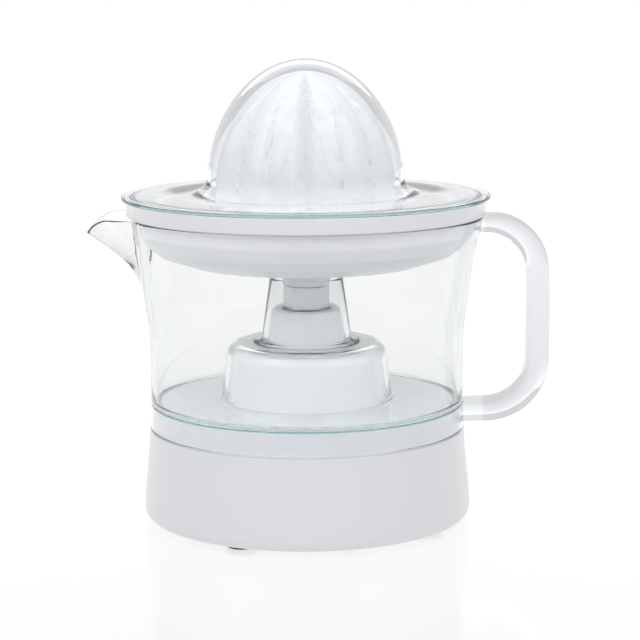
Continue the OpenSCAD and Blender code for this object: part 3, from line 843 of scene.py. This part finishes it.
def coil():
    """The winding: a rounded block whose sides show the turns of wire, with a square bore."""
    lo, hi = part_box("coil_winding")
    c = (lo + hi) / 2 / MM
    half = (hi - lo) / 2 / MM
    turns, per, corner, bore, per_corner = 26, 6, 3.4, 5.45, 6

    def loop(x, y, z, r):
        """A rounded oblong round the winding's axis at x, with corner centres at y and z."""
        out = []
        for k in range(4):
            for j in range(per_corner + 1):
                q = math.radians(90 * k + 90 * j / per_corner)
                out.append((c.x + x, c.y + y * (1 if k in (0, 3) else -1) + r * math.cos(q),
                            c.z + z * (1 if k in (0, 1) else -1) + r * math.sin(q)))
        return out
    verts = []
    for i in range(turns * per + 1):
        dent = 0.16 * (1 - abs(math.sin(math.pi * i / per)))
        verts += loop(-half.x + 2 * half.x * i / (turns * per), half.y - corner, half.z - corner,
                      corner - dent)
    for x in (half.x, -half.x):
        verts += loop(x, bore, bore, 0.3)
    m, n = 4 * (per_corner + 1), len(verts)
    faces = []
    for row in range(0, n, m):
        for j in range(m):
            k = (j + 1) % m
            nxt = (row + m) % n
            faces.append([row + j, row + k, nxt + k, nxt + j])
    block = make("coil_turns", verts, faces, 60)
    return finish_piece(block, "base", "coil_winding", "copper_winding")


# ---- Stage, light and camera ----

def stage():
    """Floor with a soft mirror, that glows enough to meet the white surroundings."""
    mesh = bpy.data.meshes.new("floor")
    far = 6
    corners = [(-far, -far, 0), (far, -far, 0), (far, far, 0), (-far, far, 0)]
    mesh.from_pydata(corners, [], [(0, 1, 2, 3)])
    floor = bpy.data.objects.new("floor", mesh)
    bpy.context.scene.collection.objects.link(floor)
    mat, tree, shader = node_material("pale_floor")
    shader.inputs["Base Color"].default_value = (0.14, 0.14, 0.14, 1)
    shader.inputs["Emission Color"].default_value = (1, 1, 1, 1)
    shader.inputs["Emission Strength"].default_value = 0.72
    shader.inputs["IOR"].default_value = 1.35
    tree.links.new(remap(tree, noise(tree, 30, 2), 0.10, 0.16), shader.inputs["Roughness"])
    mesh.materials.append(mat)


def light(name, place, target, size, power, mirrored):
    """A soft lamp aimed at a target; mirrored lets it show in reflections."""
    data = bpy.data.lights.new(name, "AREA")
    data.shape = "RECTANGLE"
    data.size, data.size_y = size
    data.energy = power
    lamp = bpy.data.objects.new(name, data)
    lamp.location = place
    lamp.rotation_euler = (Vector(target) - Vector(place)).to_track_quat("-Z", "Y").to_euler()
    bpy.context.scene.collection.objects.link(lamp)
    lamp.visible_glossy = mirrored


def studio():
    """White surroundings and four large soft lamps. The surroundings are pure white to the
    camera, a little darker in reflections, and darker again as a source of light."""
    world = bpy.data.worlds.new("studio")
    world.use_nodes = True
    tree = world.node_tree
    background = tree.nodes["Background"]
    seen = tree.nodes.new("ShaderNodeLightPath")

    def pick(test, no, yes):
        mix = tree.nodes.new("ShaderNodeMix")
        tree.links.new(seen.outputs[test], mix.inputs["Factor"])
        for side, value in (("A", no), ("B", yes)):
            if isinstance(value, float):
                mix.inputs[side].default_value = value
            else:
                tree.links.new(value, mix.inputs[side])
        return mix.outputs["Result"]
    # as a light, more of it where light has come through several faces of clear plastic
    onto_surfaces = tree.nodes.new("ShaderNodeMapRange")
    tree.links.new(seen.outputs["Transmission Depth"], onto_surfaces.inputs["Value"])
    for name, value in (("From Min", 3), ("From Max", 6), ("To Min", 0.45), ("To Max", 3.7)):
        onto_surfaces.inputs[name].default_value = value
    value = pick("Is Camera Ray", pick("Diffuse Depth", 0.9, onto_surfaces.outputs["Result"]), 1.0)
    tree.links.new(value, background.inputs["Strength"])
    background.inputs["Color"].default_value = (1, 1, 1, 1)
    bpy.context.scene.world = world
    middle = (0, 0, 0.08)
    light("key", (-0.9, -0.8, 0.9), middle, (1.0, 1.0), 5.2, True)
    light("fill", (0.9, -0.8, 0.9), middle, (1.0, 1.0), 4.6, True)
    light("back", (0, 1.2, 0.9), middle, (1.4, 0.8), 5, False)
    light("top", (0, 0, 1.3), middle, (1.0, 1.0), 3, False)
    cycles = bpy.context.scene.cycles
    cycles.max_bounces = 40
    cycles.transmission_bounces = 40
    cycles.transparent_max_bounces = 40
    cycles.sample_clamp_indirect = 4
    bpy.context.scene.view_settings.view_transform = "Standard"


def camera():
    """The view: level with the lid, a little to the right of the spindle."""
    distance, height, across = 0.8316, 0.2178, 0.00524
    pitch, roll = math.radians(9.555), math.radians(-0.281)
    data = bpy.data.cameras.new("camera")
    data.lens = 122.2
    data.sensor_width = 36
    data.clip_start = 0.01
    cam = bpy.data.objects.new("camera", data)
    bpy.context.scene.collection.objects.link(cam)
    turn = Matrix.Rotation(math.pi / 2 - pitch, 4, "X") @ Matrix.Rotation(roll, 4, "Z")
    cam.matrix_world = Matrix.Translation((across, -distance, height)) @ turn
    bpy.context.scene.camera = cam


camera()
stage()
studio()
dress_frame()
housing()
feet()
spindle()
jug()
strainer()
cone()
dust_cover()
spring()
coil()
